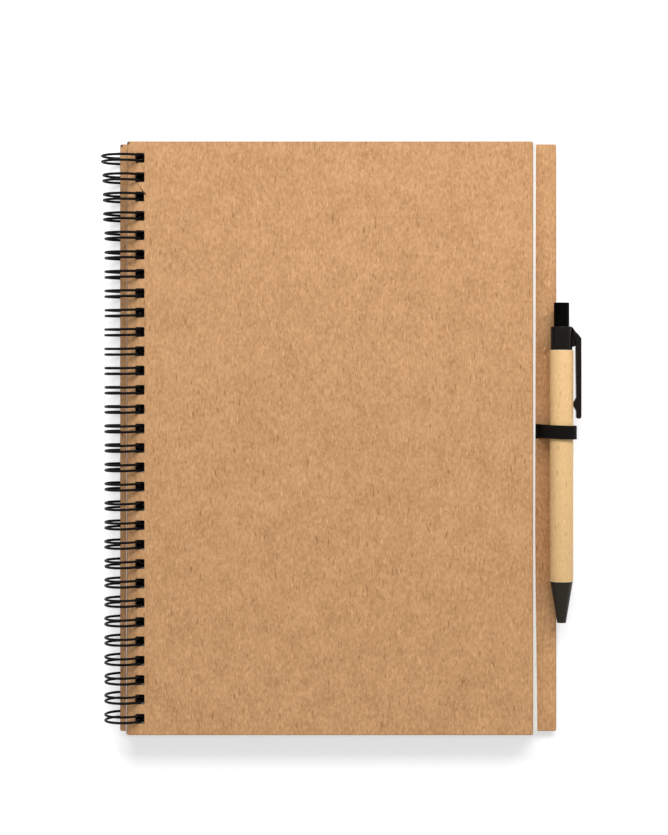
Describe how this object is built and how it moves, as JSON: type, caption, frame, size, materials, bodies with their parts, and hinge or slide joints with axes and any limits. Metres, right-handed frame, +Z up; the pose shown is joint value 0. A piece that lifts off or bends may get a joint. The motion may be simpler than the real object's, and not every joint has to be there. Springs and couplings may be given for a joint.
{
  "type": "notebook with pen",
  "caption": "Twin-loop bound notebook with brown board covers, a block of pages and a retractable pen held in an elastic loop on the wider back cover.",
  "frame": {"origin": "on the table the book lies on, under the middle of the closed front cover", "axes": "+Z up from the table, +Y to the head of the book along the spine, +X from the spine to the fore edge"},
  "size_m": [0.2096, 0.26, 0.0176],
  "materials": {
    "cover_board": "uncoated recycled brown board with fine fibres",
    "paper": "uncoated off-white writing paper",
    "coated_wire": "black coated steel wire, satin",
    "elastic": "black ribbed elastic ribbon",
    "barrel_paper": "smooth wound brown paper, matt",
    "black_plastic": "black moulded plastic, soft gloss",
    "cam_plastic": "natural white plastic",
    "refill_plastic": "translucent natural plastic tube",
    "ink": "paste ink",
    "point_metal": "turned brass",
    "ball_metal": "polished hard metal",
    "spring_steel": "bright drawn wire"
  },
  "bodies": {
    "back_cover": {"back_cover": "cover_board", "wire_binding": "coated_wire", "pen_loop": "elastic", "pen_barrel": "barrel_paper", "pen_cap": "black_plastic", "pen_nose_cone": "black_plastic", "pen_spring": "spring_steel"},
    "page_block": {"page_block": "paper"},
    "front_cover": {"front_cover": "cover_board"},
    "pen_button": {"pen_button": "black_plastic"},
    "pen_refill": {"pen_cam_rotor": "cam_plastic", "refill_tube": "refill_plastic", "refill_ink": "ink", "refill_point": "point_metal", "refill_ball": "ball_metal"}
  },
  "joints": [
    {"name": "pages_turn", "type": "hinge", "parent": "back_cover", "child": "page_block", "pos_m": [-0.09055, 0, 0.0088], "axis": [0, -1, 0], "range_deg": [0, 180]},
    {"name": "front_cover_turn", "type": "hinge", "parent": "page_block", "child": "front_cover", "pos_m": [-0.09055, 0, 0.0088], "axis": [0, -1, 0], "range_deg": [0, 180]},
    {"name": "button_press", "type": "slide", "parent": "back_cover", "child": "pen_button", "axis": [0, -1, 0], "range_m": [0, 0.006], "stiffness_N_per_m": 300, "springref_m": -0.004, "deforming": ["pen_spring"]},
    {"name": "refill_feed", "type": "slide", "parent": "back_cover", "child": "pen_refill", "axis": [0, -1, 0], "range_m": [0, 0.006]}
  ],
  "couplings": [
    {"joint": "refill_feed", "follows": "button_press", "ratio": 1}
  ]
}
